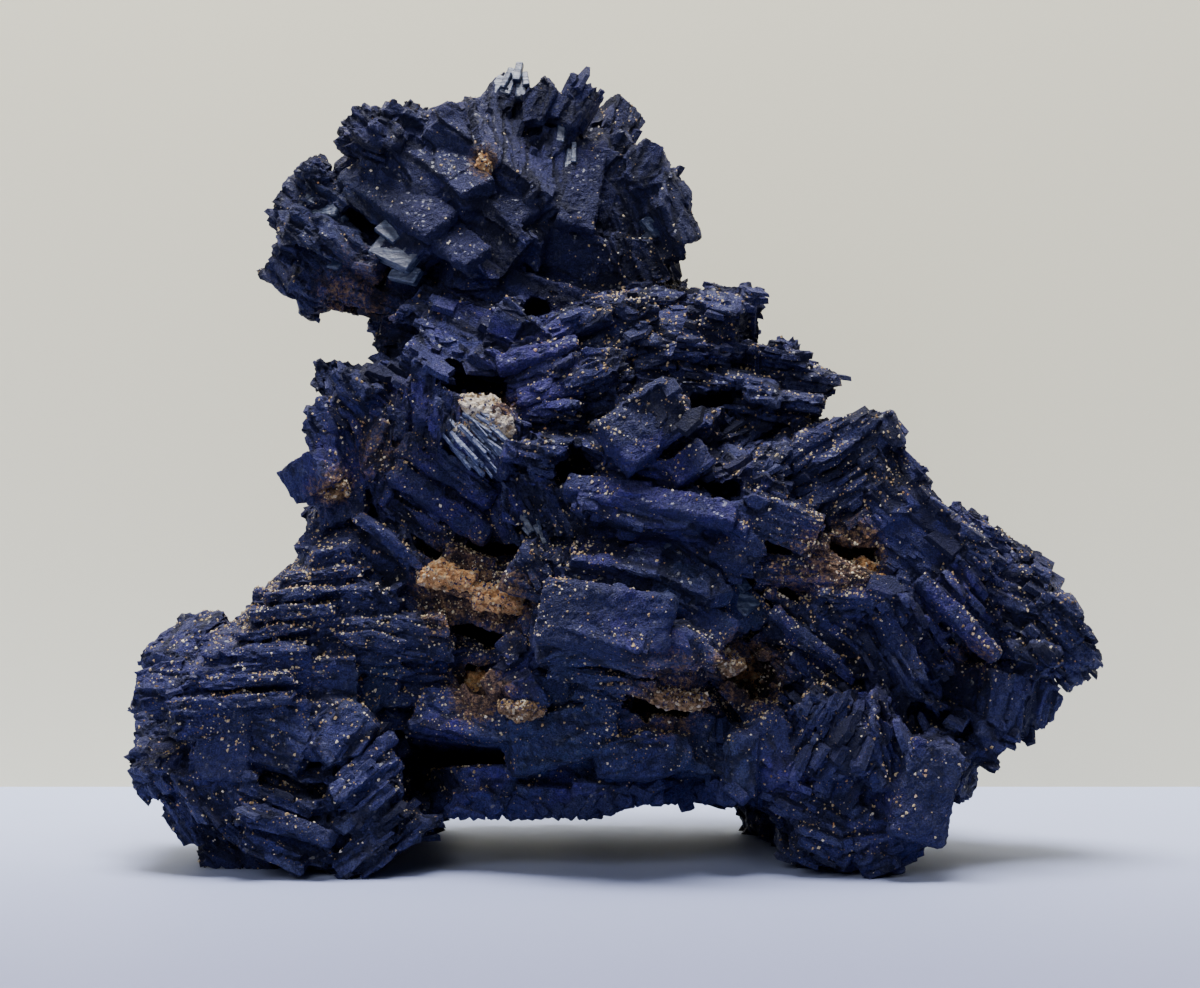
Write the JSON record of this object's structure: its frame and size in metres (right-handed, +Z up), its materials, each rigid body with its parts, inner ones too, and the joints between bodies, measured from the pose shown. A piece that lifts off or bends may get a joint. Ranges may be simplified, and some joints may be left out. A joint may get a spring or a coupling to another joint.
{
  "type": "azurite crystal specimen",
  "caption": "Craggy blue azurite crystal cluster with stacked tabular crystals, a raised head and an arch under its belly.",
  "frame": {"origin": "middle of the footprint box, on the surface that the specimen stands on", "axes": "+X to the right along the longest side, +Y away from the eye across the thin side, +Z up"},
  "size_m": [0.098, 0.0542, 0.0801],
  "materials": {
    "azurite": null
  },
  "bodies": {
    "root": {"azurite_cluster": "azurite"}
  },
  "joints": []
}
